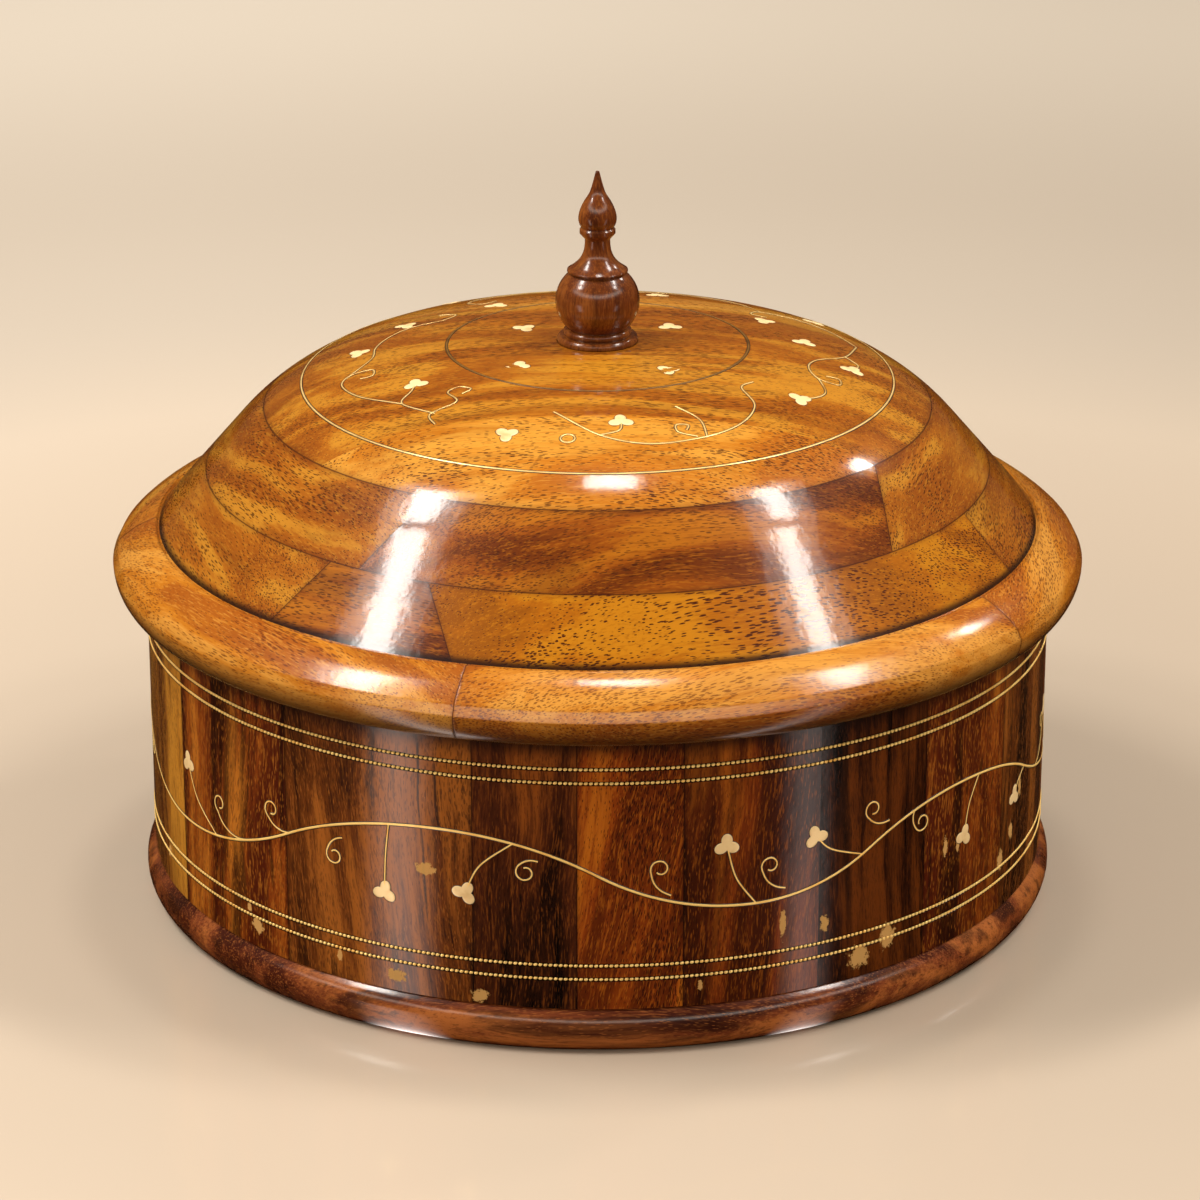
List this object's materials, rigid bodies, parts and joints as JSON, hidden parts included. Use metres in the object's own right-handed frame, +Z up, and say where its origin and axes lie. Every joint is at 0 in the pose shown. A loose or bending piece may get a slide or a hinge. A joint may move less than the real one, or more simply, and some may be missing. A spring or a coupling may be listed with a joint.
{
  "type": "wooden roti box",
  "caption": "Round lidded wooden box for flatbread: staved bowl on a turned foot ring, domed lift-off lid of glued rings with a turned finial, and brass wire inlay.",
  "frame": {"origin": "centre of the foot ring's underside, on the axis, where the box stands on the table", "axes": "+Z up along the turning axis, -Y towards the front of the picture's view, +X to its right"},
  "size_m": [0.28, 0.28, 0.2109],
  "materials": {
    "wall_wood": "lacquered dark sheesham staves",
    "lid_wood": "lacquered golden sheesham",
    "dark_wood": "dark stained and lacquered",
    "finial_wood": "dark stained and lacquered",
    "bottom_wood": "oiled sheesham",
    "brass": "scraped and polished wire and sheet",
    "steel": "plain wood screw"
  },
  "bodies": {
    "bowl": {"bottom_board_1": "bottom_wood", "bottom_board_2": "bottom_wood", "bottom_board_3": "bottom_wood", "foot_ring": "dark_wood", "stave_01": "wall_wood", "stave_02": "wall_wood", "stave_03": "wall_wood", "stave_04": "wall_wood", "stave_05": "wall_wood", "stave_06": "wall_wood", "stave_07": "wall_wood", "stave_08": "wall_wood", "stave_09": "wall_wood", "stave_10": "wall_wood", "stave_11": "wall_wood", "stave_12": "wall_wood", "stave_13": "wall_wood", "stave_14": "wall_wood", "stave_15": "wall_wood", "stave_16": "wall_wood", "stave_17": "wall_wood", "stave_18": "wall_wood", "stave_19": "wall_wood", "stave_20": "wall_wood", "wall_vine": "brass", "wall_wire_1": "brass", "wall_wire_2": "brass", "wall_wire_3": "brass", "wall_wire_4": "brass"},
    "lid": {"crown_board_1": "lid_wood", "crown_board_2": "lid_wood", "crown_board_3": "lid_wood", "crown_board_4": "lid_wood", "finial": "finial_wood", "finial_screw": "steel", "lid_circle_inner": "brass", "lid_circle_outer": "brass", "lower_band_1": "lid_wood", "lower_band_2": "lid_wood", "lower_band_3": "lid_wood", "lower_band_4": "lid_wood", "lower_band_5": "lid_wood", "lower_band_6": "lid_wood", "rim_segment_1": "lid_wood", "rim_segment_2": "lid_wood", "rim_segment_3": "lid_wood", "rim_segment_4": "lid_wood", "rim_segment_5": "lid_wood", "upper_band_1": "lid_wood", "upper_band_2": "lid_wood", "upper_band_3": "lid_wood", "upper_band_4": "lid_wood", "upper_band_5": "lid_wood"}
  },
  "joints": [
    {"name": "lid_lift", "type": "slide", "parent": "bowl", "child": "lid", "axis": [0, 0, 1], "range_m": [0, 0.13]}
  ]
}
